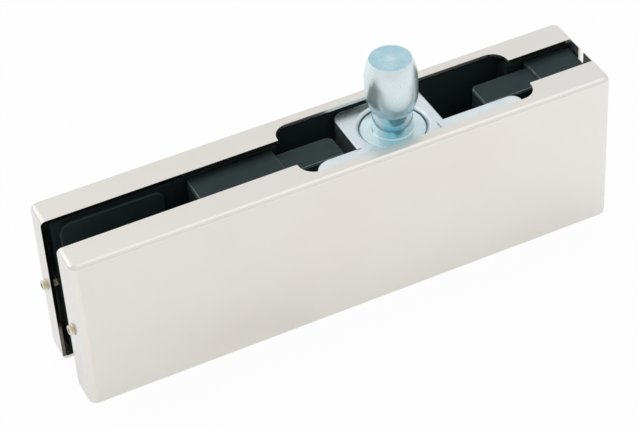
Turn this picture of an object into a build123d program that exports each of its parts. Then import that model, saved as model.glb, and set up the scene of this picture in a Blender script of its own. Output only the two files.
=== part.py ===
from build123d import *
from math import sqrt
import os

# Over-panel patch fitting with a pivot pin, for frameless glass doors.
# Two cast clamp halves grip the notched corner of a glass panel through rubber pads.
# A block between them carries the barrel-headed pivot pin, and two pressed
# stainless covers hide the clamp. Everything is in millimetres.
# X runs along the fitting, Y through the glass, Z up towards the pin.
# The origin is the centre of the face that the fitting stands on.

# Glass and the rubber pads that line it
glass_thickness = 12.0
pad_thickness = 1.7
pad_end_setback = 5.0
pad_boss_gap = 6.8
pad_strip_gap = 3.0
pad_right_setback = 2.5
pad_top_drop = 0.5
pad_lift = 0.3
pad_outer_radius = 3.5
pad_inner_radius = 3.0

# Covers, pressed from sheet
cover_length = 165.0
cover_height = 51.0
sheet = 1.0
bend_radius = 1.5
corner_radius = 2.5
tab_gap = 2.5
notch_length = 72.9
notch_setback = 57.95
notch_depth = 5.5
notch_radius = 4.8
notch_mouth_radius = 0.4

# Clamp halves, die cast
plate_thickness = 6.5
plate_clearance = 0.3
plate_lift = 0.2
plate_left_setback = 3.0
plate_right_setback = 1.6
plate_top_drop = 3.0
plate_edge_radius = 0.6
plate_bevel = 0.4
boss_length = 121.0
boss_bottom = 13.0
boss_face_gap = 1.0
boss_corner_radius = 8.0
boss_back_radius = 1.5
boss_bevel = 0.4
wide_left_gap = 7.0
wide_right_gap = 8.7
tongue_thickness = 9.0
tongue_left_gap = 3.7
tongue_right_gap = 13.7
tongue_step = 0.8
tongue_radius = 2.0
pocket_wall = 1.2
pocket_clearance = 0.8
flange_wall = 3.9
flange_gap = 0.4
rear_pocket_overlap = 0.2
running_gap = 0.3
adjust_travel = 2.0

# Pivot block, one piece with its flange
pin_setback = 62.0
block_length = 27.0
block_height = 20.0
block_top_drop = 3.2
block_front_radius = 2.4
block_rear_radius = 4.0
flange_length = 64.6
flange_offset = 4.7
flange_depth = 5.4
flange_height = 8.0
flange_left_land = 0.2
flange_right_radius = 3.0
block_edge_chamfer = 0.15
pin_bore_radius = 9.75
pin_bore_depth = 3.9
pin_bore_chamfer = 0.65
shank_clearance = 0.05

# Pivot pin, turned, with its washer and retaining ring
pin_height = 20.1
barrel_radius = 7.5
barrel_land = 4.0
barrel_center_drop = 8.6
barrel_length = 16.6
barrel_top_radius = 6.1
barrel_bottom_radius = 6.2
barrel_top_edge = 0.12
barrel_rim = 0.4
neck_radius = 5.8
neck_foot = 0.3
collar_radius = 9.4
collar_thickness = 3.0
collar_edge = 0.3
shank_radius = 5.0
shank_tail = 3.4
groove_depth = 0.6
washer_radius = 7.0
washer_thickness = 1.0
ring_radius = 6.6
ring_thickness = 1.0
ring_mouth = 5.0
seat_gap = 0.1
tail_clearance = 0.9

# Clamp screws with hexagon sockets, and their nuts
clamp_screw_radius = 3.0
clamp_screw_length = 24.0
clamp_head_radius = 5.0
clamp_head_height = 4.0
clamp_head_chamfer = 0.5
clamp_socket_flats = 5.0
clamp_socket_depth = 2.5
clamp_hole_clearance = 0.3
clamp_head_clearance = 0.3
clamp_recess = 0.3
clamp_side_drop = 12.0
nut_flats = 10.0
nut_height = 5.0
nut_clearance = 0.1

# Lock screws, through slots in the front half into the block's flange
lock_screw_radius = 1.5
lock_reach = 3.0
lock_head_radius = 2.8
lock_head_height = 1.7
lock_head_chamfer = 0.6
lock_socket_flats = 2.0
lock_socket_depth = 1.0
lock_left_inset = 4.1
lock_right_inset = 7.4

# Cover screws, headless, through the ends of the covers into the clamp halves
cover_screw_radius = 1.5
cover_screw_length = 10.0
cover_screw_stand_out = 1.5
cover_screw_drop = 25.4
cover_screw_inset = 5.3
cover_screw_chamfer = 0.3
cover_socket_flats = 1.5
cover_socket_depth = 1.8
cover_hole_clearance = 0.2
thread_clearance = 0.05
hole_bottom_gap = 0.5

# How far a cut runs past the face that it opens, and how near counts as the same place
cut_past = 1.0
near = 0.01

# Places through the glass, from its middle outwards
half_gap = glass_thickness / 2
inner_face = half_gap + pad_thickness
outer_face = inner_face + plate_thickness
cover_face = outer_face + plate_clearance + sheet
boss_back = inner_face - boss_face_gap
pocket_face = outer_face - pocket_wall
block_face = pocket_face - running_gap
recess_face = outer_face - flange_wall
flange_front = recess_face - running_gap
flange_back = flange_front - flange_depth
tongue_front = flange_back - flange_gap
tongue_back = tongue_thickness - tongue_front
cover_screw_y = cover_face - cover_screw_inset

# Places along the fitting
cover_end = cover_length / 2
plate_left = -cover_end + plate_left_setback
plate_right = cover_end - plate_right_setback
pin_center = cover_end - pin_setback
block_left = pin_center - block_length / 2
block_right = pin_center + block_length / 2
flange_left = pin_center + flange_offset - flange_length / 2
flange_right = pin_center + flange_offset + flange_length / 2
block_room = adjust_travel + running_gap
boss_left = plate_right - boss_length
wide_left_end = flange_left - wide_left_gap
wide_right_start = flange_right + wide_right_gap
tongue_left_end = block_left - tongue_left_gap
tongue_right_start = block_right + tongue_right_gap
notch_center = cover_end - notch_setback
pad_left = -cover_end + pad_end_setback
pad_right = boss_left - pad_boss_gap
cover_screw_end = cover_end + cover_screw_stand_out - cover_screw_length

# Places up the fitting
plate_bottom = sheet + plate_lift
plate_top = cover_height - plate_top_drop
tongue_top = plate_top - tongue_step
clamp_side_height = plate_top - clamp_side_drop
cover_screw_height = cover_height - cover_screw_drop
block_top = cover_height - block_top_drop
block_bottom = block_top - block_height
pocket_floor = block_bottom - pocket_clearance
flange_bottom = block_top - flange_height
recess_floor = flange_bottom - running_gap
shank_end = block_bottom - shank_tail
web_top = shank_end - tail_clearance
pad_bottom = plate_bottom + pad_lift
pad_top = plate_top - pad_top_drop
strip_top = boss_bottom - pad_strip_gap
collar_bottom = block_top - pin_bore_depth + seat_gap
collar_top = collar_bottom + collar_thickness
pin_top = cover_height + pin_height
barrel_bottom = pin_top - barrel_length
land_top = pin_top - barrel_center_drop + barrel_land / 2
land_bottom = land_top - barrel_land
washer_top = block_bottom - seat_gap
washer_bottom = washer_top - washer_thickness
ring_top = washer_bottom - seat_gap
ring_bottom = ring_top - ring_thickness

# Places of the screws, each as an x and a z
clamp_places = {
    "left": ((boss_left + wide_left_end) / 2, clamp_side_height),
    "middle": (pin_center, (boss_bottom + web_top) / 2),
    "right": ((wide_right_start + plate_right) / 2, clamp_side_height),
}
lock_z = (flange_bottom + block_top) / 2
lock_places = {
    "left": (flange_left + lock_left_inset, lock_z),
    "right": (flange_right - lock_right_inset, lock_z),
}
ends = {"left": -1, "right": 1}
sides = {"front": -1, "rear": 1}

os.makedirs("parts", exist_ok=True)


def finish(part, name):
    """Label a finished piece and write it."""
    part.label = name
    export_step(part, f"parts/{name}.step")


def hexagon(flats):
    """A hexagon in the sketch being made, that measures `flats` across its flats."""
    RegularPolygon(flats / sqrt(3), 6)


def rectangle_between(left, right, low, high, mode=Mode.ADD):
    """A rectangle in the sketch being made, between two places along each of its axes."""
    with Locations(((left + right) / 2, (low + high) / 2)):
        Rectangle(right - left, high - low, mode=mode)


# Front cover: a shallow tray of sheet with its mouth towards the glass
with BuildPart() as front_cover:
    with BuildSketch(Plane.XZ.offset(tab_gap / 2)):
        rectangle_between(-cover_end, cover_end, 0, cover_height)
    extrude(amount=cover_face - tab_gap / 2)
    fillet(front_cover.edges().filter_by(Axis.Z).group_by(Axis.Y)[0], corner_radius)
    mouth = front_cover.faces().filter_by(Axis.Y).sort_by(Axis.Y)[-1]
    bends = front_cover.faces().filter_by(Axis.Z).edges()
    fillet(bends.filter_by(lambda bend: bend not in mouth.edges()), bend_radius)
    mouth = front_cover.faces().filter_by(Axis.Y).sort_by(Axis.Y)[-1]
    offset(amount=-sheet, openings=mouth)
    # The lips and the left end stop in line with the pads, the right end runs on
    with BuildSketch(Plane.XY.offset(-cut_past)):
        rectangle_between(-cover_end - cut_past, cover_end - sheet, -half_gap, half_gap)
    extrude(amount=cover_height + 2 * cut_past, mode=Mode.SUBTRACT)
    # Notch in the upper lip, around the pivot
    with BuildSketch(Plane.XY.offset(cover_height - sheet - cut_past)):
        with Locations((notch_center, -half_gap)):
            RectangleRounded(notch_length, 2 * notch_depth, notch_radius)
    extrude(amount=sheet + 2 * cut_past, mode=Mode.SUBTRACT)
    lip_edges = front_cover.edges().filter_by(Axis.Z).filter_by_position(
        Axis.Y, -half_gap - near, -half_gap + near
    )
    notch_ends = lip_edges.filter_by_position(
        Axis.X, notch_center - notch_length / 2 - near, notch_center + notch_length / 2 + near
    )
    fillet(notch_ends.group_by(Axis.Z)[-1], notch_mouth_radius)
    # Holes for the cover screws
    with BuildSketch(Plane.YZ):
        with Locations((-cover_screw_y, cover_screw_height)):
            Circle(cover_screw_radius + cover_hole_clearance)
    extrude(amount=cover_end + cut_past, both=True, mode=Mode.SUBTRACT)
finish(front_cover.part, "front_cover")

# Rear cover: the front one mirrored across the glass
with BuildPart() as rear_cover:
    mirror(front_cover.part, about=Plane.XZ)
finish(rear_cover.part, "rear_cover")

# Front clamp half: a plate with the boss that fills the notch in the glass
with BuildPart() as front_clamp_half:
    with BuildSketch(Plane.XZ.offset(inner_face)):
        rectangle_between(plate_left, plate_right, plate_bottom, plate_top)
    extrude(amount=plate_thickness)
    fillet(front_clamp_half.faces().sort_by(Axis.Y)[0].edges(), plate_edge_radius)
    with BuildSketch(Plane.XZ.offset(inner_face)) as boss:
        rectangle_between(boss_left, plate_right, boss_bottom, plate_top)
        fillet(boss.vertices().group_by(Axis.X)[0].sort_by(Axis.Y)[0], boss_corner_radius)
    extrude(amount=-inner_face - boss_back)
    # Room for the block between the tongues, and the pockets behind the tongues
    with BuildSketch(Plane.XY.offset(web_top)):
        rectangle_between(tongue_left_end, tongue_right_start, -inner_face, boss_back + cut_past)
        rectangle_between(wide_left_end, wide_right_start, tongue_back, boss_back + cut_past)
    extrude(amount=cover_height - web_top, mode=Mode.SUBTRACT)
    # Pocket in the plate for the block
    with BuildSketch(Plane.XY.offset(pocket_floor)):
        rectangle_between(block_left - block_room, block_right + block_room, -pocket_face, -half_gap)
    extrude(amount=cover_height - pocket_floor, mode=Mode.SUBTRACT)
    # Recess for the flange, in front of the tongues
    with BuildSketch(Plane.XY.offset(recess_floor)):
        rectangle_between(flange_left - block_room, flange_right + block_room, -recess_face, -half_gap)
        rectangle_between(wide_left_end, wide_right_start, -inner_face, -tongue_front)
    extrude(amount=cover_height - recess_floor, mode=Mode.SUBTRACT)
    # The tongues stop a little lower than the plate
    with BuildSketch(Plane.XY.offset(tongue_top)):
        rectangle_between(wide_left_end, wide_right_start, -tongue_front, tongue_back)
    extrude(amount=cover_height - tongue_top, mode=Mode.SUBTRACT)
    # Rounded rear corners of the tongues and of the wide block, and bevelled top edges
    upright = front_clamp_half.edges().filter_by(Axis.Z)
    tongue_corners = upright.filter_by_position(Axis.Y, tongue_back - near, tongue_back + near)
    tongue_ends = tongue_corners.filter_by_position(
        Axis.X, tongue_left_end - near, tongue_right_start + near
    )
    fillet(tongue_ends, tongue_radius)
    upright = front_clamp_half.edges().filter_by(Axis.Z)
    boss_corner = upright.filter_by_position(Axis.X, boss_left - near, boss_left + near)
    fillet(boss_corner.group_by(Axis.Y)[-1], boss_back_radius)
    with BuildSketch(Plane.XZ.offset(inner_face)):
        for left, top in (
            (boss_left, plate_top),
            (tongue_right_start, tongue_top),
            (wide_right_start, plate_top),
        ):
            Polygon((left, top - boss_bevel), (left + boss_bevel, top), (left, top), align=None)
    extrude(amount=-inner_face - boss_back, mode=Mode.SUBTRACT)
    for start, stop in ((wide_left_end, tongue_left_end), (tongue_right_start, wide_right_start)):
        with BuildSketch(Plane.YZ.offset(start)):
            Polygon(
                (-tongue_front, tongue_top),
                (-tongue_front + boss_bevel, tongue_top),
                (-tongue_front, tongue_top - boss_bevel),
                align=None,
            )
        extrude(amount=stop - start, mode=Mode.SUBTRACT)
    # Holes for the clamp screws, with hexagon pockets that hold their nuts
    with BuildSketch(Plane.XZ.offset(outer_face)):
        with Locations(*clamp_places.values()):
            Circle(clamp_screw_radius + clamp_hole_clearance)
    extrude(amount=-outer_face - boss_back, mode=Mode.SUBTRACT)
    with BuildSketch(Plane.XZ.offset(outer_face)):
        with Locations(*clamp_places.values()):
            hexagon(nut_flats + 2 * nut_clearance)
    extrude(amount=-clamp_recess - nut_height, mode=Mode.SUBTRACT)
    # Slots that the lock screws slide in, counterbored for their heads
    with BuildSketch(Plane.XZ.offset(outer_face)):
        with Locations(*lock_places.values()):
            SlotCenterToCenter(2 * adjust_travel, 2 * (lock_screw_radius + running_gap))
    extrude(amount=-flange_wall - cut_past, mode=Mode.SUBTRACT)
    with BuildSketch(Plane.XZ.offset(outer_face)):
        with Locations(*lock_places.values()):
            SlotCenterToCenter(2 * adjust_travel, 2 * (lock_head_radius + running_gap))
    extrude(amount=-clamp_recess - lock_head_height - seat_gap, mode=Mode.SUBTRACT)
    # Threaded holes for the cover screws
    for place, way in ((plate_left, -1), (plate_right, 1)):
        with BuildSketch(Plane.YZ.offset(place)):
            with Locations((-cover_screw_y, cover_screw_height)):
                Circle(cover_screw_radius + thread_clearance)
        extrude(amount=way * (cover_screw_end - hole_bottom_gap) - place, mode=Mode.SUBTRACT)
finish(front_clamp_half.part, "front_clamp_half")

# Rear clamp half: a plate with a long pocket behind the block, and counterbored holes
with BuildPart() as rear_clamp_half:
    with BuildSketch(Plane.XZ.offset(-inner_face)):
        rectangle_between(plate_left, plate_right, plate_bottom, plate_top)
    extrude(amount=-plate_thickness)
    fillet(rear_clamp_half.faces().sort_by(Axis.Y)[-1].edges(), plate_edge_radius)
    chamfer(rear_clamp_half.faces().sort_by(Axis.Y)[0].edges(), plate_bevel)
    with BuildSketch(Plane.XY.offset(pocket_floor)):
        rectangle_between(
            notch_center - notch_length / 2 - rear_pocket_overlap,
            notch_center + notch_length / 2 + rear_pocket_overlap,
            half_gap,
            pocket_face,
        )
    extrude(amount=cover_height - pocket_floor, mode=Mode.SUBTRACT)
    with Locations(Plane.back.offset(outer_face)):
        with Locations(*[(-x, z) for x, z in clamp_places.values()]):
            CounterBoreHole(
                clamp_screw_radius + clamp_hole_clearance,
                clamp_head_radius + clamp_head_clearance,
                clamp_recess + clamp_head_height,
            )
    for place, way in ((plate_left, -1), (plate_right, 1)):
        with BuildSketch(Plane.YZ.offset(place)):
            with Locations((cover_screw_y, cover_screw_height)):
                Circle(cover_screw_radius + thread_clearance)
        extrude(amount=way * (cover_screw_end - hole_bottom_gap) - place, mode=Mode.SUBTRACT)
finish(rear_clamp_half.part, "rear_clamp_half")

# Front pad: covers the gripping face beside the boss and below it
with BuildPart() as front_gasket:
    with BuildSketch(Plane.XZ.offset(half_gap)) as pad:
        rectangle_between(pad_left, pad_right, pad_bottom, pad_top)
        fillet(pad.vertices().group_by(Axis.X)[-1].sort_by(Axis.Y)[-1], pad_inner_radius)
        fillet(pad.vertices().group_by(Axis.X)[0].sort_by(Axis.Y)[-1], pad_outer_radius)
        rectangle_between(pad_left, plate_right - pad_right_setback, pad_bottom, strip_top)
    extrude(amount=pad_thickness)
finish(front_gasket.part, "front_gasket")

# Rear pad: the front one mirrored across the glass
with BuildPart() as rear_gasket:
    mirror(front_gasket.part, about=Plane.XZ)
finish(rear_gasket.part, "rear_gasket")

# Pivot block: carries the pin, and slides in the clamp on its flange
with BuildPart() as pivot_block:
    with BuildSketch(Plane.XY.offset(block_bottom)) as block:
        rectangle_between(block_left, block_right, -block_face, block_face)
        fillet(block.vertices().group_by(Axis.Y)[0], block_front_radius)
        fillet(block.vertices().group_by(Axis.Y)[-1], block_rear_radius)
    extrude(amount=block_height)
    with BuildSketch(Plane.XY.offset(flange_bottom)) as flange:
        rectangle_between(flange_left, flange_right, -flange_front, -flange_back)
        fillet(flange.vertices().group_by(Axis.Y)[-1].sort_by(Axis.X)[0], flange_depth - flange_left_land)
        fillet(flange.vertices().group_by(Axis.Y)[-1].sort_by(Axis.X)[-1], flange_right_radius)
    extrude(amount=flange_height)
    chamfer(pivot_block.faces().sort_by(Axis.Z)[-1].edges(), block_edge_chamfer)
    with Locations((pin_center, 0, block_top)):
        CounterBoreHole(shank_radius + shank_clearance, pin_bore_radius, pin_bore_depth)
    bore_rim = pivot_block.edges().filter_by(GeomType.CIRCLE).group_by(Axis.Z)[-1]
    chamfer(bore_rim.sort_by(SortBy.RADIUS)[-1], pin_bore_chamfer)
    with BuildSketch(Plane.XZ.offset(flange_front)):
        with Locations(*lock_places.values()):
            Circle(lock_screw_radius + thread_clearance)
    extrude(amount=-lock_reach - hole_bottom_gap, mode=Mode.SUBTRACT)
finish(pivot_block.part, "pivot_block")

# Pivot pin: shank, collar, neck and a barrel head that turns in the frame's socket
with BuildPart() as pivot_pin:
    with BuildSketch(Plane((pin_center, 0, 0), x_dir=(1, 0, 0), z_dir=(0, -1, 0))):
        with BuildLine():
            Polyline(
                (0, shank_end),
                (shank_radius - groove_depth, shank_end),
                (shank_radius, shank_end + groove_depth),
                (shank_radius, ring_bottom),
                (shank_radius - groove_depth, ring_bottom),
                (shank_radius - groove_depth, ring_top),
                (shank_radius, ring_top),
                (shank_radius, collar_bottom),
                (collar_radius, collar_bottom),
                (collar_radius, collar_top - collar_edge),
                (collar_radius - collar_edge, collar_top),
                (neck_radius + neck_foot, collar_top),
                (neck_radius, collar_top + neck_foot),
                (neck_radius, barrel_bottom - barrel_rim),
                (barrel_bottom_radius, barrel_bottom),
            )
            lower_curve = TangentArc(
                (barrel_radius, land_bottom), (barrel_bottom_radius, barrel_bottom), tangent=(0, -1)
            )
            Line((barrel_radius, land_bottom), (barrel_radius, land_top))
            upper_curve = TangentArc(
                (barrel_radius, land_top),
                (barrel_top_radius, pin_top - barrel_top_edge),
                tangent=(0, 1),
            )
            Polyline(
                (barrel_top_radius, pin_top - barrel_top_edge),
                (barrel_top_radius - barrel_top_edge, pin_top),
                (0, pin_top),
                (0, shank_end),
            )
        make_face()
    revolve(axis=Axis((pin_center, 0, 0), (0, 0, 1)))
finish(pivot_pin.part, "pivot_pin")

# Washer under the block, and the ring in the groove that keeps the pin from lifting
with BuildPart() as pin_washer:
    with BuildSketch(Plane.XY.offset(washer_bottom)):
        with Locations((pin_center, 0)):
            Circle(washer_radius)
            Circle(shank_radius + thread_clearance, mode=Mode.SUBTRACT)
    extrude(amount=washer_thickness)
finish(pin_washer.part, "pin_washer")

with BuildPart() as retaining_ring:
    with BuildSketch(Plane.XY.offset(ring_bottom)):
        with Locations((pin_center, 0)):
            Circle(ring_radius)
            Circle(shank_radius - groove_depth + thread_clearance, mode=Mode.SUBTRACT)
        rectangle_between(
            pin_center,
            pin_center + ring_radius + cut_past,
            -ring_mouth / 2,
            ring_mouth / 2,
            mode=Mode.SUBTRACT,
        )
    extrude(amount=ring_thickness)
finish(retaining_ring.part, "retaining_ring")

# Clamp screws, with heads in the rear half, and their nuts in the front half
screw_seat = outer_face - clamp_recess - clamp_head_height
for name, place in clamp_places.items():
    with BuildPart() as clamp_screw:
        with BuildSketch(Plane.XZ.offset(-screw_seat)):
            with Locations(place):
                Circle(clamp_head_radius)
        extrude(amount=-clamp_head_height)
        head_rim = clamp_screw.faces().sort_by(Axis.Y)[-1].edges()
        chamfer(head_rim, clamp_head_chamfer)
        with BuildSketch(Plane.XZ.offset(-screw_seat - clamp_head_height)):
            with Locations(place):
                hexagon(clamp_socket_flats)
        extrude(amount=clamp_socket_depth, mode=Mode.SUBTRACT)
        with BuildSketch(Plane.XZ.offset(-screw_seat)):
            with Locations(place):
                Circle(clamp_screw_radius)
        extrude(amount=clamp_screw_length)
    finish(clamp_screw.part, f"clamp_screw_{name}")

    with BuildPart() as clamp_nut:
        with BuildSketch(Plane.XZ.offset(outer_face - clamp_recess)):
            with Locations(place):
                hexagon(nut_flats)
                Circle(clamp_screw_radius + thread_clearance, mode=Mode.SUBTRACT)
        extrude(amount=-nut_height)
    finish(clamp_nut.part, f"clamp_nut_{name}")

# Lock screws, whose heads slide in the front half while their tips sit in the flange
lock_seat = outer_face - clamp_recess - lock_head_height
for name, place in lock_places.items():
    with BuildPart() as lock_screw:
        with BuildSketch(Plane.XZ.offset(lock_seat)):
            with Locations(place):
                Circle(lock_head_radius)
        extrude(amount=lock_head_height)
        chamfer(lock_screw.faces().sort_by(Axis.Y)[0].edges(), lock_head_chamfer)
        with BuildSketch(Plane.XZ.offset(lock_seat + lock_head_height)):
            with Locations(place):
                hexagon(lock_socket_flats)
        extrude(amount=-lock_socket_depth, mode=Mode.SUBTRACT)
        with BuildSketch(Plane.XZ.offset(lock_seat)):
            with Locations(place):
                Circle(lock_screw_radius)
        extrude(amount=flange_front - lock_reach - lock_seat)
    finish(lock_screw.part, f"lock_screw_{name}")

# Cover screws, one at each end of each cover
for side, side_way in sides.items():
    for end, end_way in ends.items():
        with BuildPart() as cover_screw:
            with BuildSketch(Plane.YZ.offset(end_way * cover_screw_end)):
                with Locations((side_way * cover_screw_y, cover_screw_height)):
                    Circle(cover_screw_radius)
            extrude(amount=end_way * cover_screw_length)
            rims = cover_screw.edges().filter_by(GeomType.CIRCLE)
            chamfer(rims, cover_screw_chamfer)
            with BuildSketch(Plane.YZ.offset(end_way * (cover_end + cover_screw_stand_out))):
                with Locations((side_way * cover_screw_y, cover_screw_height)):
                    hexagon(cover_socket_flats)
            extrude(amount=-end_way * cover_socket_depth, mode=Mode.SUBTRACT)
        finish(cover_screw.part, f"cover_screw_{side}_{end}")
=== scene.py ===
import bmesh
import bpy
import math
from mathutils import Matrix, Vector


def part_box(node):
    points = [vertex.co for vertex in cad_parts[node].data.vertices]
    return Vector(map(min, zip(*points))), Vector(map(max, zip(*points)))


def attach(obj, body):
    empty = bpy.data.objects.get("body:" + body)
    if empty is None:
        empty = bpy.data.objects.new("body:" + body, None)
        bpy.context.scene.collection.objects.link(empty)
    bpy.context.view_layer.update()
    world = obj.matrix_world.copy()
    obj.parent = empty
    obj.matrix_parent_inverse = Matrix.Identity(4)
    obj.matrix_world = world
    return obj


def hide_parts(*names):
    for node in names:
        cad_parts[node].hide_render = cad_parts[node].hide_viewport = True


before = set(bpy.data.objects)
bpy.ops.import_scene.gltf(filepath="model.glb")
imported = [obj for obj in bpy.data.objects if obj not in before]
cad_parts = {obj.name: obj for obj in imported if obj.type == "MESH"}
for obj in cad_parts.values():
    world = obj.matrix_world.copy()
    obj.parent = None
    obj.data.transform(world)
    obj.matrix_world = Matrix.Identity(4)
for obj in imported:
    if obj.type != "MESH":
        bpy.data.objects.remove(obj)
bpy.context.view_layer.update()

# Clamp halves: aluminium die castings under a thin black electrophoretic coat. The coat is half
# matt and slightly green, and shows the faint pebbling of the die. The rounded edges of the front
# half carry a painted highlight: they are painted pale grey.
MM = 0.001
casting_rounding = 0.16
casting_steps = 2
hidden_below = 30 * MM


def linear(hex_colour):
    """The linear colour, with alpha, of an sRGB hex value such as '#d8d5d0'."""
    values = []
    for i in (1, 3, 5):
        value = int(hex_colour[i:i + 2], 16) / 255
        values.append(value / 12.92 if value <= 0.04045 else ((value + 0.055) / 1.055) ** 2.4)
    return (*values, 1.0)


def put(tree, value, socket):
    """Link a node or one of its outputs to a socket, or set the socket to a plain value."""
    if isinstance(value, bpy.types.Node):
        value = value.outputs[0]
    if isinstance(value, bpy.types.NodeSocket):
        tree.links.new(value, socket)
    else:
        socket.default_value = value


def add(tree, kind, **given):
    """A new node of a tree, with its settings, and its inputs by name or, such as i0, by number.

    A setting is a name that the node itself has, and an input takes what put takes.
    """
    node = tree.nodes.new(kind)
    for name, value in given.items():
        if hasattr(node, name):
            setattr(node, name, value)
        elif name[1:].isdigit():
            put(tree, value, node.inputs[int(name[1:])])
        else:
            put(tree, value, node.inputs[name.replace("_", " ")])
    return node


def new_material(name, metallic):
    """A material with one Principled shader, given back with its tree, shader and coordinates."""
    material = bpy.data.materials.new(name)
    material.use_nodes = True
    tree = material.node_tree
    shader = tree.nodes["Principled BSDF"]
    shader.inputs["Metallic"].default_value = metallic
    return material, tree, shader, add(tree, "ShaderNodeTexCoord")


def patches(tree, place, size, low=0.0, high=1.0, detail=4.0, stretch=(1, 1, 1)):
    """Soft irregular patches of a real size in millimetres, as a value between low and high."""
    noise_low, noise_high = 0.3, 0.7
    scale = [1 / (size * MM * s) for s in stretch]
    spread = add(tree, "ShaderNodeMapping", Vector=place.outputs["Object"], Scale=scale)
    noise = add(tree, "ShaderNodeTexNoise", Vector=spread, Scale=1.0, Detail=detail)
    return add(tree, "ShaderNodeMapRange", Value=noise.outputs["Fac"], From_Min=noise_low,
               From_Max=noise_high, To_Min=low, To_Max=high)


def paint(tree, shader, ground, *layers):
    """The base colour: a hex value, with others laid over it in turn, each at its own share."""
    colour = linear(ground)
    shader.inputs["Base Color"].default_value = colour
    for share, over in layers:
        mix = add(tree, "ShaderNodeMix", data_type="RGBA", i0=share, i6=colour, i7=linear(over))
        colour = mix.outputs[2]
    put(tree, colour, shader.inputs["Base Color"])


def roughen(tree, shader, roughness):
    """The roughness, as a plain value or one that varies over the surface."""
    put(tree, roughness, shader.inputs["Roughness"])


def raise_surface(tree, shader, height, depth):
    """Bump with a real depth in millimetres."""
    bump = add(tree, "ShaderNodeBump", Height=height, Strength=1.0, Distance=depth * MM)
    put(tree, bump, shader.inputs["Normal"])


def finish_piece(piece, body, slot, *nodes):
    """The piece takes the place of CAD nodes and rides on their body. The slot is not used."""
    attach(piece, body)
    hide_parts(*nodes)


def plain_piece(name, blank, body, slot, *nodes):
    """The result of an object's modifiers as a piece of its own, and the object is deleted."""
    made = blank.evaluated_get(bpy.context.evaluated_depsgraph_get())
    mesh = bpy.data.meshes.new_from_object(made)
    bpy.data.objects.remove(blank)
    mesh.name = name
    piece = bpy.data.objects.new(name, mesh)
    bpy.context.scene.collection.objects.link(piece)
    finish_piece(piece, body, slot, *nodes)
    return piece


def blend_into_flats(mesh):
    """Corner normals that keep flats flat, and run each rounded edge smoothly into them."""
    cosine_of_53_degrees = 0.6
    around = [[] for vertex in mesh.vertices]
    for face in mesh.polygons:
        for vertex in face.vertices:
            around[vertex].append(face)
    normals = [None] * len(mesh.loops)
    for face in mesh.polygons:
        for corner, vertex in zip(face.loop_indices, face.vertices):
            alike = [other for other in around[vertex]
                     if other.normal.dot(face.normal) > cosine_of_53_degrees]
            blend = sum((other.normal * other.area for other in alike), Vector())
            normals[corner] = blend.normalized()
    mesh.normals_split_custom_set(normals)


def softened(node, width, steps, body, slot, *materials, sharp_below=-1.0):
    """A CAD node with its sharp outer edges rounded, which takes the node's place.

    The rounded edges take the last material, and edges that reach under sharp_below stay sharp.
    """
    merge_within = 0.001 * MM
    flat_within = math.radians(0.5)
    curved_within = math.radians(35)
    shape = bmesh.new()
    shape.from_mesh(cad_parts[node].data)
    bmesh.ops.remove_doubles(shape, verts=shape.verts, dist=merge_within)
    bmesh.ops.dissolve_limit(shape, angle_limit=flat_within, verts=shape.verts, edges=shape.edges)
    rounding = shape.edges.layers.float.new("bevel_weight_edge")
    for edge in shape.edges:
        outer = edge.is_convex and edge.calc_face_angle(0.0) > curved_within
        edge[rounding] = float(outer and min(v.co.z for v in edge.verts) > sharp_below)
    mesh = bpy.data.meshes.new(f"{node}_softened")
    shape.to_mesh(mesh)
    shape.free()
    for material in materials:
        mesh.materials.append(material)
    mesh.shade_smooth()
    blank = bpy.data.objects.new(f"{node}_blank", mesh)
    bpy.context.scene.collection.objects.link(blank)
    bevel = blank.modifiers.new("rounding", "BEVEL")
    bevel.limit_method = "WEIGHT"
    bevel.width = width * MM
    bevel.segments = steps
    bevel.use_clamp_overlap = False
    bevel.material = len(materials) - 1
    piece = plain_piece(f"{node}_softened", blank, body, slot, node)
    blend_into_flats(piece.data)


# The pebbling scatters what a smooth coat would mirror, which leaves it little gloss.
black_coat, tree, shader, place = new_material("black_coated_casting", metallic=0.0)
shader.inputs["Specular IOR Level"].default_value = 0.04
paint(tree, shader, "#303b3b", (patches(tree, place, size=6.0), "#364041"))
roughen(tree, shader, patches(tree, place, size=3.0, low=0.4, high=0.5))
raise_surface(tree, shader, patches(tree, place, size=0.7), depth=0.01)

# Painted highlight: the rounded edges are painted a paler grey, standing in for the light they
# catch.
painted_edge_highlight, tree, shader, place = new_material("black_coat_painted_edge_highlight", metallic=0.0)
paint(tree, shader, "#3a4847", (patches(tree, place, size=1.5), "#62706f"))
roughen(tree, shader, 0.36)
softened("front_clamp_half", casting_rounding, casting_steps, "clamp", "black_casting",
         black_coat, painted_edge_highlight, sharp_below=hidden_below)
softened("rear_clamp_half", casting_rounding, casting_steps, "clamp", "black_casting", black_coat)

# Pads: strips of moulded black rubber, laid on the gripping faces with rounded rims. Rubber is
# matt, a little greyer than the castings, and its rims catch a soft light.
pad_rounding = 0.45
pad_steps = 4
rubber, tree, shader, place = new_material("moulded_black_rubber", metallic=0.0)
shader.inputs["Specular IOR Level"].default_value = 0.3
paint(tree, shader, "#2f403f", (patches(tree, place, size=4.0), "#384847"))
roughen(tree, shader, patches(tree, place, size=2.0, low=0.4, high=0.55))
raise_surface(tree, shader, patches(tree, place, size=0.4), depth=0.01)
for node in ("front_gasket", "rear_gasket"):
    softened(node, pad_rounding, pad_steps, "clamp", "black_rubber", rubber)

# Pivot block: one milled steel piece, zinc plated and passivated clear. It is bright and silky,
# with fine marks of the cutter across it and two small knocks. A streaky dark patch by the rear
# cover is painted on as a reflection of the cover's shaded lip.
block_rounding = 0.22
block_steps = 3
zinc, tree, shader, place = new_material("clear_zinc_plated_block", metallic=0.9)
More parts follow.
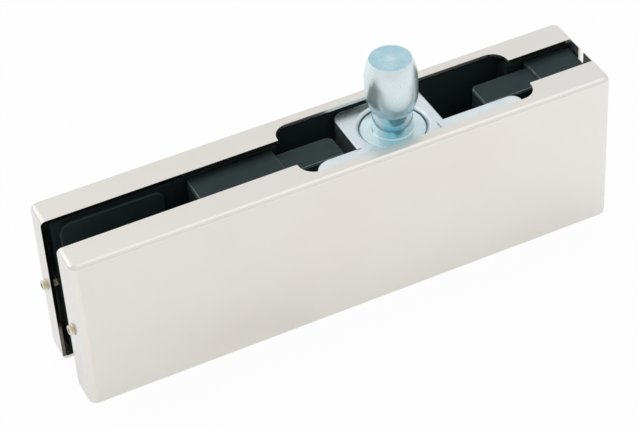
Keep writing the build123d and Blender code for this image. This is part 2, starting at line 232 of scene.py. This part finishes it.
# The painted dark reflection by the rear cover and the two knocks: where each is, its half length
# and its half width, in mm.
knocks_and_painted_reflection_spots = ((12.0, 12.4, 5.0, 1.5), (31.7, -6.6, 0.3, 1.9), (7.3, -4.9, 1.0, 0.3))
knocks_and_painted_reflection = 0.0
for x, y, long, wide in knocks_and_painted_reflection_spots:
    offset = add(tree, "ShaderNodeVectorMath", operation="SUBTRACT", i0=place.outputs["Object"],
                 i1=(x * MM, y * MM, 0))
    shaped = add(tree, "ShaderNodeVectorMath", operation="MULTIPLY", i0=offset,
                 i1=(1 / (long * MM), 1 / (wide * MM), 0))
    reach = add(tree, "ShaderNodeVectorMath", operation="LENGTH", i0=shaped)
    spot = add(tree, "ShaderNodeMapRange", Value=reach.outputs["Value"], From_Min=1.2, From_Max=0.5)
    knocks_and_painted_reflection = add(tree, "ShaderNodeMath", operation="MAXIMUM", i0=spot, i1=knocks_and_painted_reflection)
scratchy = patches(tree, place, size=0.5, low=0.5, high=1.0, stretch=(3, 1, 1))
streaked_knocks_and_painted_reflection = add(tree, "ShaderNodeMath", operation="MULTIPLY", i0=knocks_and_painted_reflection, i1=scratchy)
# 747986 is painted dark reflection in the patch by the rear cover, and the knocks' own dark.
paint(tree, shader, "#e2ecf0", (patches(tree, place, size=5.0), "#edf4f6"), (streaked_knocks_and_painted_reflection, "#747986"))
roughen(tree, shader, patches(tree, place, size=1.5, low=0.26, high=0.36))
raise_surface(tree, shader, patches(tree, place, size=0.5, stretch=(1, 8, 8)), depth=0.001)
softened("pivot_block", block_rounding, block_steps, "carriage", "plated_block", zinc)

# Pivot pin: turned steel with blue-passivated zinc, whose milky film looks silky and less than
# wholly metallic, over faint rings from the tool. It is pale and bluer low on the barrel. The end
# face is painted bluer as painted light, and the side of the neck towards the camera bluest as a
# painted reflection.
pin_low, pin_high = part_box("pivot_pin")
barrel_bottom = pin_high.z - 16.6 * MM
blue_from = barrel_bottom + 9 * MM
centre_spot = 0.6 * MM
clear_of_spot = 2.2 * MM
painted_reflection_side = (-0.4, -0.917, 0)
# The tool's rings are drawn further apart than on the real pin, where they are too fine to show.
ring_spacing = 0.35 * MM


def dress(material, *names):
    """Give CAD nodes their material."""
    for name in names:
        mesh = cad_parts[name].data
        mesh.materials.clear()
        mesh.materials.append(material)


blue_zinc, tree, shader, place = new_material("blue_zinc_plated_pin", metallic=0.62)
centred = add(tree, "ShaderNodeVectorMath", operation="SUBTRACT", i0=place.outputs["Object"],
              i1=((pin_low.x + pin_high.x) / 2, (pin_low.y + pin_high.y) / 2, 0))
axes = add(tree, "ShaderNodeSeparateXYZ", i0=centred)
across = add(tree, "ShaderNodeVectorMath", operation="MULTIPLY", i0=centred, i1=(1, 1, 0))
from_axis = add(tree, "ShaderNodeVectorMath", operation="LENGTH", i0=across)
facing = add(tree, "ShaderNodeSeparateXYZ", i0=place.outputs["Normal"])
on_barrel = add(tree, "ShaderNodeMath", operation="GREATER_THAN", i0=axes.outputs["Z"],
                i1=barrel_bottom)
below_barrel = add(tree, "ShaderNodeMath", operation="LESS_THAN", i0=axes.outputs["Z"],
                   i1=barrel_bottom)

# Painted light: the end face, which faces up, is painted bluer than the flank, and paler in its
# centre.
painted_end_face_blue = add(tree, "ShaderNodeMapRange", Value=facing.outputs["Z"], From_Min=0.85, From_Max=0.99,
               To_Max=0.85)
around_centre = add(tree, "ShaderNodeMapRange", Value=from_axis.outputs["Value"],
                    From_Min=centre_spot, From_Max=clear_of_spot, To_Min=0.6)
painted_end_face_blue = add(tree, "ShaderNodeMath", operation="MULTIPLY", i0=painted_end_face_blue, i1=around_centre)
painted_end_face_blue = add(tree, "ShaderNodeMath", operation="MULTIPLY", i0=painted_end_face_blue, i1=on_barrel)

# The blue that grows down the barrel, and is weaker on the neck and the collar.
low_blue = add(tree, "ShaderNodeMapRange", Value=axes.outputs["Z"], From_Min=blue_from,
               From_Max=barrel_bottom, To_Max=0.9)
weaker = add(tree, "ShaderNodeMath", operation="MULTIPLY", i0=below_barrel, i1=0.6)
low_blue = add(tree, "ShaderNodeMath", operation="SUBTRACT", i0=low_blue, i1=weaker)
blue = add(tree, "ShaderNodeMath", operation="MAXIMUM", i0=painted_end_face_blue, i1=low_blue)
clouds = patches(tree, place, size=3.0, low=0.8, high=1.15, detail=2.0)
cloudy_blue = add(tree, "ShaderNodeMath", operation="MULTIPLY", i0=blue, i1=clouds)

# Painted reflection: the side of the neck that faces the camera is painted deepest blue, standing
# in for what it mirrors.
turned_there = add(tree, "ShaderNodeVectorMath", operation="DOT_PRODUCT",
                   i0=place.outputs["Normal"], i1=painted_reflection_side)
painted_neck_reflection = add(tree, "ShaderNodeMapRange", Value=turned_there.outputs["Value"], From_Min=0.78,
                From_Max=0.95)
painted_neck_reflection = add(tree, "ShaderNodeMath", operation="MULTIPLY", i0=painted_neck_reflection, i1=below_barrel)
# The end face's share of #a7d0dd is painted light, and #aceeff is a painted reflection on the neck.
paint(tree, shader, "#f0feff", (cloudy_blue, "#a7d0dd"), (painted_neck_reflection, "#aceeff"))

# The neck and the collar are sleeker than the barrel.
silk = patches(tree, place, size=2.5, low=0.26, high=0.32)
roughen(tree, shader, add(tree, "ShaderNodeMix", data_type="FLOAT", i0=below_barrel, i2=silk,
                          i3=0.12))
along_tool = add(tree, "ShaderNodeMath", operation="ADD", i0=axes.outputs["Z"],
                 i1=from_axis.outputs["Value"])
turns = add(tree, "ShaderNodeMath", operation="MULTIPLY", i0=along_tool,
            i1=2 * math.pi / ring_spacing)
rings = add(tree, "ShaderNodeMath", operation="SINE", i0=turns)
waves = patches(tree, place, size=3.0, detail=2.0)
uneven = add(tree, "ShaderNodeMath", operation="MULTIPLY_ADD", i0=rings, i1=0.03, i2=waves)
raise_surface(tree, shader, uneven, depth=0.01)
dress(blue_zinc, "pivot_pin")

# Washer and retaining ring under the block: a plated steel washer, and a stamped ring of
# phosphated spring steel, which is dark grey and a little rough.
stamped_rounding = 0.12
stamped_steps = 2
steel, tree, shader, place = new_material("zinc_plated_steel", metallic=1.0)
paint(tree, shader, "#c6ccd0")
roughen(tree, shader, patches(tree, place, size=1.0, low=0.22, high=0.36))
raise_surface(tree, shader, patches(tree, place, size=0.25), depth=0.002)
spring, tree, shader, place = new_material("phosphated_spring_steel", metallic=1.0)
paint(tree, shader, "#3b3e41")
roughen(tree, shader, patches(tree, place, size=0.8, low=0.38, high=0.55))
raise_surface(tree, shader, patches(tree, place, size=0.2), depth=0.003)
softened("pin_washer", stamped_rounding, stamped_steps, "pin", "plated_steel", steel)
softened("retaining_ring", stamped_rounding, stamped_steps, "pin", "spring_steel", spring)

# Clamp screws and nuts: M6 socket head screws and hexagon nuts of zinc plated steel, with rolled
# threads. They draw the two halves together on the glass.
m6_pitch = 1.0
m6_thread_depth = 0.6
m6_nut_thread_depth = 0.4
quarter = math.pi / 2


def wrench_radius(angle, flats):
    """How far a hexagon's side lies from its middle, at an angle from the middle of one side."""
    sixth = math.pi / 3
    return flats / 2 / math.cos((angle + sixth / 2) % sixth - sixth / 2)


def turned(name, rings):
    """A closed body about Z from rings of (height, radius) or (height, radius, flats, thread).

    Sizes are in millimetres. A ring with flats follows a hexagon within its radius, one of no
    radius is a point, and thread says how deep the thread is cut there, from 0 to 1.
    """
    sides = 36
    shape = bmesh.new()
    cut = shape.verts.layers.float.new("thread")
    rows = []
    for height, radius, *form in rings:
        flats, thread = form or (None, 0)
        row = []
        for i in range(sides if radius else 1):
            angle = 2 * math.pi * i / sides
            reach = min(radius, wrench_radius(angle, flats)) if flats else radius
            corner = Vector((reach * math.cos(angle), reach * math.sin(angle), height)) * MM
            vert = shape.verts.new(corner)
            vert[cut] = thread
            row.append(vert)
        rows.append(row)
    for first, second in zip(rows, rows[1:] + rows[:1]):
        for i in range(sides):
            corners = [first[i % len(first)], first[(i + 1) % len(first)],
                       second[(i + 1) % len(second)], second[i % len(second)]]
            corners = [v for j, v in enumerate(corners) if v not in corners[:j]]
            if len(corners) > 2:
                shape.faces.new(corners)
    bmesh.ops.recalc_face_normals(shape, faces=shape.faces)
    mesh = bpy.data.meshes.new(name)
    shape.to_mesh(mesh)
    shape.free()
    return mesh


def socket_rings(flats, depth, point, chamfer, mouth):
    """Rings of a hexagon socket, from the drill's point at its bottom out to its mouth."""
    return [(-depth - point, 0), (-depth, flats, flats, 0), (-chamfer, flats, flats, 0),
            (0, flats / 2 + mouth)]


def thread_rings(top, bottom, radius, pitch):
    """Rings along a threaded shank, with the cut fading out at both ends."""
    rings_per_turn = 8
    count = round((top - bottom) / pitch * rings_per_turn)
    rings = []
    for i in range(count + 1):
        height = top + (bottom - top) * i / count
        fade = min(1.0, (top - height) / pitch, (height - bottom) / pitch)
        rings.append((height, radius, None, fade))
    return rings


def thread_tree():
    """Geometry nodes that roll a thread into a turned body, and set the body in place."""
    crest, root = 0.07, 0.43
    tree = bpy.data.node_groups.new("rolled_thread", "GeometryNodeTree")
    face = tree.interface
    face.new_socket("Body", in_out="INPUT", socket_type="NodeSocketGeometry")
    for name, kind in (("Pitch", "Float"), ("Depth", "Float"), ("Place", "Vector"),
                       ("Turn", "Vector"), ("Finish", "Material")):
        face.new_socket(name, in_out="INPUT", socket_type=f"NodeSocket{kind}")
    face.new_socket("Threaded body", in_out="OUTPUT", socket_type="NodeSocketGeometry")
    given = add(tree, "NodeGroupInput").outputs
    where = add(tree, "GeometryNodeInputPosition")
    axes = add(tree, "ShaderNodeSeparateXYZ", i0=where)
    angle = add(tree, "ShaderNodeMath", operation="ARCTAN2", i0=axes.outputs["Y"],
                i1=axes.outputs["X"])
    share = add(tree, "ShaderNodeMath", operation="DIVIDE", i0=angle, i1=2 * math.pi)
    climb = add(tree, "ShaderNodeMath", operation="DIVIDE", i0=axes.outputs["Z"],
                i1=given["Pitch"])
    phase = add(tree, "ShaderNodeMath", operation="SUBTRACT", i0=climb, i1=share)
    wave = add(tree, "ShaderNodeMath", operation="PINGPONG", i0=phase, i1=0.5)
    groove = add(tree, "ShaderNodeMapRange", Value=wave, From_Min=crest, From_Max=root)
    cut = add(tree, "GeometryNodeInputNamedAttribute", data_type="FLOAT", Name="thread")
    deep = add(tree, "ShaderNodeMath", operation="MULTIPLY", i0=groove, i1=cut)
    inward = add(tree, "ShaderNodeMath", operation="MULTIPLY", i0=deep, i1=given["Depth"])
    flat = add(tree, "ShaderNodeVectorMath", operation="MULTIPLY", i0=where, i1=(-1, -1, 0))
    way = add(tree, "ShaderNodeVectorMath", operation="NORMALIZE", i0=flat)
    step = add(tree, "ShaderNodeVectorMath", operation="SCALE", i0=way, Scale=inward)
    rolled = add(tree, "GeometryNodeSetPosition", Geometry=given["Body"], Offset=step)
    set_down = add(tree, "GeometryNodeTransform", Geometry=rolled, Translation=given["Place"],
                   Rotation=given["Turn"])
    whole = add(tree, "GeometryNodeRealizeInstances", Geometry=set_down)
    painted = add(tree, "GeometryNodeSetMaterial", Geometry=whole, Material=given["Finish"])
    add(tree, "NodeGroupOutput", i0=painted)
    return tree


rolled_thread = thread_tree()


def threaded_piece(node, rings, pitch, depth, seat, turn, finish, body, slot):
    """A turned body with its thread rolled in, set down in the place of a CAD node."""
    crease = math.radians(32)
    name = f"{node}_threaded"
    blank = bpy.data.objects.new(f"{name}_blank", turned(node, rings))
    bpy.context.scene.collection.objects.link(blank)
    roll = blank.modifiers.new("roll", "NODES")
    roll.node_group = rolled_thread
    values = {"Pitch": pitch * MM, "Depth": depth * MM, "Place": seat, "Turn": turn,
              "Finish": finish}
    for item in rolled_thread.interface.items_tree:
        if item.in_out == "INPUT" and item.name in values:
            roll[item.identifier] = values[item.name]
    blank.update_tag()
    bpy.context.view_layer.update()
    piece = plain_piece(name, blank, body, slot, node)
    piece.data.shade_smooth()
    piece.data.set_sharp_from_angle(angle=crease)


for side in ("left", "middle", "right"):
    node = f"clamp_screw_{side}"
    low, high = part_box(node)
    middle = (low + high) / 2
    head_radius = (high.z - low.z) / 2 / MM
    length = (high.y - low.y) / MM
    head, shank, point = 4.0, 3.0, 0.7
    rings = [
        *socket_rings(flats=5.0, depth=2.5, point=0.8, chamfer=0.15, mouth=0.65),
        (0, head_radius - 0.5), (-0.15, head_radius - 0.15), (-0.5, head_radius),
        (-head + 0.1, head_radius), (-head, head_radius - 0.1), (-head, shank),
        *thread_rings(-head - 1.0, -length + point, shank, m6_pitch),
        (-length, shank - point), (-length, 0),
    ]
    threaded_piece(node, rings, m6_pitch, m6_thread_depth, (middle.x, high.y, middle.z),
                   (-quarter, 0, 0), steel, "clamp", "plated_steel")
    node = f"clamp_nut_{side}"
    low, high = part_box(node)
    middle = (low + high) / 2
    height = (high.y - low.y) / MM
    flats = (high.z - low.z) / MM
    corner, chamfer = flats / math.sqrt(3), 0.45
    rim = flats / 2 * 0.95
    bore, mouth, lead = 3.05, 0.4, 0.35
    rings = [
        (0, rim), (-chamfer, corner, flats, 0), (-height + chamfer, corner, flats, 0),
        (-height, rim), (-height, bore + mouth),
        *reversed(thread_rings(-lead, -height + lead, bore, m6_pitch)), (0, bore + mouth),
    ]
    threaded_piece(node, rings, m6_pitch, -m6_nut_thread_depth, (middle.x, low.y, middle.z),
                   (quarter, 0, 0), steel, "clamp", "plated_steel")

# Lock screws: M3 button heads of the same steel, which slide in the slots of the front half with
# their tips in the block's flange.
m3_pitch = 0.5
m3_thread_depth = 0.3
for side in ("left", "right"):
    node = f"lock_screw_{side}"
    low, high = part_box(node)
    middle = (low + high) / 2
    head_radius = (high.z - low.z) / 2 / MM
    length = (high.y - low.y) / MM
    head, shank, point = 1.7, 1.5, 0.3
    rings = [
        *socket_rings(flats=2.0, depth=1.0, point=0.3, chamfer=0.1, mouth=0.3),
        (0, head_radius - 0.6), (-0.25, head_radius - 0.28), (-0.6, head_radius),
        (-head, head_radius), (-head, shank),
        *thread_rings(-head - 0.5, -length + point, shank, m3_pitch),
        (-length, shank - point), (-length, 0),
    ]
    threaded_piece(node, rings, m3_pitch, m3_thread_depth, (middle.x, low.y, middle.z),
                   (quarter, 0, 0), steel, "carriage", "plated_steel")

# Covers: deep-drawn trays of stainless sheet, finished with a fine satin belt along their length.
# The flats are silky and warm, the ends and the right end are painted colder and lighter as painted
# light, the bends a little sleeker, and the sheared rims smooth, with a painted shade that makes
# them dark.
rim_depth = 6.02 * MM
tab_start = 80 * MM
foot_height = 1.2 * MM
cooler_from = 50 * MM
coolest_at = 84 * MM
stainless, tree, shader, place = new_material("satin_stainless_sheet", metallic=1.0)
axes = add(tree, "ShaderNodeSeparateXYZ", i0=place.outputs["Object"])
facing = add(tree, "ShaderNodeVectorMath", operation="ABSOLUTE", i0=place.outputs["Normal"])
faces = add(tree, "ShaderNodeSeparateXYZ", i0=facing)

# A bend faces between two axes, and a rim lies at the gap between the two covers.
straight = add(tree, "ShaderNodeMath", operation="MAXIMUM", i0=faces.outputs["X"],
               i1=faces.outputs["Y"])
straight = add(tree, "ShaderNodeMath", operation="MAXIMUM", i0=straight, i1=faces.outputs["Z"])
on_bend = add(tree, "ShaderNodeMapRange", Value=straight, From_Min=0.998, From_Max=0.97)
from_middle = add(tree, "ShaderNodeMath", operation="ABSOLUTE", i0=axes.outputs["Y"])
on_rim = add(tree, "ShaderNodeMath", operation="LESS_THAN", i0=from_middle, i1=rim_depth)
before_tab = add(tree, "ShaderNodeMath", operation="LESS_THAN", i0=axes.outputs["X"],
                 i1=tab_start)
on_rim = add(tree, "ShaderNodeMath", operation="MULTIPLY", i0=on_rim, i1=before_tab)
silk = patches(tree, place, size=0.5, low=0.33, high=0.39, detail=2.0, stretch=(40, 1, 1))
silk = add(tree, "ShaderNodeMix", data_type="FLOAT", i0=on_bend, i2=silk, i3=0.26)
roughen(tree, shader, add(tree, "ShaderNodeMix", data_type="FLOAT", i0=on_rim, i2=silk, i3=0.12))

# The flats are warm. The ends and the right end are painted cooler as painted light, and the rims
# are painted dark above the foot as painted shade of the slot.
on_end = add(tree, "ShaderNodeMapRange", Value=faces.outputs["X"], From_Min=0.5, From_Max=0.95)
near_end = add(tree, "ShaderNodeMapRange", Value=axes.outputs["X"], From_Min=cooler_from,
               From_Max=coolest_at, To_Max=0.6)
painted_end_light = add(tree, "ShaderNodeMath", operation="MAXIMUM", i0=on_end, i1=near_end)
above_foot = add(tree, "ShaderNodeMath", operation="GREATER_THAN", i0=axes.outputs["Z"],
                 i1=foot_height)
# Painted shade: the rims at the slot between the covers are painted dark.
painted_rim_shade = add(tree, "ShaderNodeMath", operation="MULTIPLY", i0=on_rim, i1=above_foot)
paint(tree, shader, "#eeeae3", (patches(tree, place, size=30.0), "#f1ede7"), (painted_end_light, "#eeedeb"),
      (painted_rim_shade, "#6a665e"))
# The belt's lines are drawn wider than on real sheet, where they are too fine to show.
belt = patches(tree, place, size=0.3, detail=2.0, stretch=(60, 1, 1))
raise_surface(tree, shader, belt, depth=0.0015)
dress(stainless, "front_cover", "rear_cover")

# Cover screws: headless M3 screws of nickel plated brass with hexagon sockets, which hold the
# covers by their ends. Nickel is bright, a little yellow, and smooth.
m3_fine_thread_depth = 0.28
nickel, tree, shader, place = new_material("nickel_plated_brass", metallic=1.0)
paint(tree, shader, "#e6dfcd")
roughen(tree, shader, patches(tree, place, size=0.6, low=0.13, high=0.24))
raise_surface(tree, shader, patches(tree, place, size=0.2), depth=0.001)
for side in ("front", "rear"):
    for end, way in (("left", -1), ("right", 1)):
        node = f"cover_screw_{side}_{end}"
        low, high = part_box(node)
        middle = (low + high) / 2
        radius = (high.z - low.z) / 2 / MM
        length = (high.x - low.x) / MM
        point, lead = 0.3, 0.35
        rings = [
            *socket_rings(flats=1.5, depth=1.8, point=0.4, chamfer=0.08, mouth=0.2),
            (0, radius - point), (-point, radius),
            *thread_rings(-lead, -length + lead, radius, m3_pitch),
            (-length + point, radius), (-length, radius - point), (-length, 0),
        ]
        seat = (high.x if way > 0 else low.x, middle.y, middle.z)
        threaded_piece(node, rings, m3_pitch, m3_fine_thread_depth, seat, (0, way * quarter, 0),
                       nickel, "clamp", "brass_screw")

# Studio: a white paper floor in soft even light, with a wide strip of light over the fitting,
# softer ones before it and behind its left end, and a ceiling that metal doesn't mirror.
floor_size = 4.0
floor_seen = 0.965
floor_mirrored_in_painted_shadow = 0.68
floor_mirrored_in_front = 0.84
floor_mirrored_painted_light = 0.1
floor_mesh = bpy.data.meshes.new("floor")
shape = bmesh.new()
bmesh.ops.create_grid(shape, x_segments=1, y_segments=1, size=floor_size / 2)
shape.to_mesh(floor_mesh)
shape.free()
floor = bpy.data.objects.new("floor", floor_mesh)
bpy.context.scene.collection.objects.link(floor)

# The paper is lit, and the camera and the metal see most of it as plain white. The metal sees it
# painted darker near the fitting, a painted broad shadow, and painted brighter to the right, a
# painted pool of light.
paper = bpy.data.materials.new("white_paper")
paper.use_nodes = True
tree = paper.node_tree
tree.nodes.clear()
rays = add(tree, "ShaderNodeLightPath")
white = add(tree, "ShaderNodeEmission", Color=(1, 1, 1, 1), Strength=1.0)
matt = add(tree, "ShaderNodeBsdfDiffuse", Color=(0.85, 0.85, 0.85, 1))
where = add(tree, "ShaderNodeTexCoord")
spots = add(tree, "ShaderNodeSeparateXYZ", i0=where.outputs["Object"])
painted_floor_shadow = add(tree, "ShaderNodeMapRange", Value=spots.outputs["Y"], From_Min=-0.018,
               From_Max=-0.045, To_Min=floor_mirrored_in_painted_shadow, To_Max=floor_mirrored_in_front)
painted_floor_light = add(tree, "ShaderNodeMapRange", Value=spots.outputs["X"], From_Min=0.06,
                   From_Max=0.1, To_Max=floor_mirrored_painted_light)
mirrored = add(tree, "ShaderNodeMath", operation="ADD", i0=painted_floor_shadow, i1=painted_floor_light)
seen = add(tree, "ShaderNodeMath", operation="MULTIPLY", i0=rays.outputs["Is Camera Ray"],
           i1=floor_seen)
mirrored = add(tree, "ShaderNodeMath", operation="MULTIPLY", i0=rays.outputs["Is Glossy Ray"],
               i1=mirrored)
share = add(tree, "ShaderNodeMath", operation="ADD", i0=seen, i1=mirrored)
mixed = add(tree, "ShaderNodeMixShader", i0=share, i1=matt, i2=white)
add(tree, "ShaderNodeOutputMaterial", Surface=mixed)
floor_mesh.materials.append(paper)

# The room is dim to matt surfaces, brighter to metal that mirrors it, and white to the camera.
world = bpy.data.worlds.new("studio")
bpy.context.scene.world = world
world.use_nodes = True
tree = world.node_tree
tree.nodes.clear()
rays = add(tree, "ShaderNodeLightPath")
soft = add(tree, "ShaderNodeBackground", Color=(1, 1, 1, 1), Strength=0.35)
mirrored = add(tree, "ShaderNodeBackground", Color=(0.98, 0.99, 1, 1), Strength=0.815)
seen = add(tree, "ShaderNodeBackground", Color=(1, 1, 1, 1), Strength=1.0)
mixed = add(tree, "ShaderNodeMixShader", i0=rays.outputs["Is Glossy Ray"], i1=soft, i2=mirrored)
mixed = add(tree, "ShaderNodeMixShader", i0=rays.outputs["Is Camera Ray"], i1=mixed, i2=seen)
add(tree, "ShaderNodeOutputWorld", Surface=mixed)


def softbox(name, place, wide, deep, radiance, mirrored=True):
    """A rectangular lamp that faces the fitting, with the brightness of its face.

    Metal mirrors it or not.
    """
    fitting = Vector((0, 0, 50 * MM))
    lamp = bpy.data.lights.new(name, "AREA")
    lamp.shape = "RECTANGLE"
    lamp.size = wide
    lamp.size_y = deep
    lamp.energy = radiance * math.pi * wide * deep
    holder = bpy.data.objects.new(name, lamp)
    bpy.context.scene.collection.objects.link(holder)
    holder.visible_glossy = mirrored
    back = (Vector(place) - fitting).normalized()
    side = Vector((0, 0, 1)).cross(back).normalized()
    facing = Matrix((side, back.cross(side), back)).transposed().to_4x4()
    holder.matrix_world = Matrix.Translation(place) @ facing


softbox("strip_softbox", (0.35, 0.05, 1.0), wide=1.0, deep=0.7, radiance=0.23)
softbox("front_softbox", (0.3, -0.9, 0.8), wide=1.4, deep=0.7, radiance=0.06)
softbox("rear_left_softbox", (-0.5, 0.75, 0.75), wide=1.2, deep=0.9, radiance=0.36)
softbox("ceiling_softbox", (0, 0.7, 1.3), wide=1.6, deep=1.2, radiance=2.4, mirrored=False)

# Camera: a long lens from the front left and above, turned a little on its axis.
azimuth = math.radians(-23.586)
elevation = math.radians(40.868)
roll = math.radians(-3.900)
distance = 647.340 * MM
aim = Vector((-0.5, 1.0, 26.0)) * MM
shift_right = -2.067 * MM
shift_up = -2.563 * MM
focal_length = 128.24
film_width = 36.0
back = Vector((
    math.sin(azimuth) * math.cos(elevation),
    -math.cos(azimuth) * math.cos(elevation),
    math.sin(elevation),
))
level = Vector((math.cos(azimuth), math.sin(azimuth), 0))
upright = back.cross(level)
right = level * math.cos(roll) + upright * math.sin(roll)
up = upright * math.cos(roll) - level * math.sin(roll)
lens = bpy.data.cameras.new("camera")
lens.sensor_width = film_width
lens.lens = focal_length
lens.clip_start = 10 * MM
camera = bpy.data.objects.new("camera", lens)
bpy.context.scene.collection.objects.link(camera)
stand = aim + right * shift_right + up * shift_up + back * distance
camera.matrix_world = Matrix.Translation(stand) @ Matrix((right, up, back)).transposed().to_4x4()
bpy.context.scene.camera = camera
bpy.context.scene.view_settings.view_transform = "Standard"
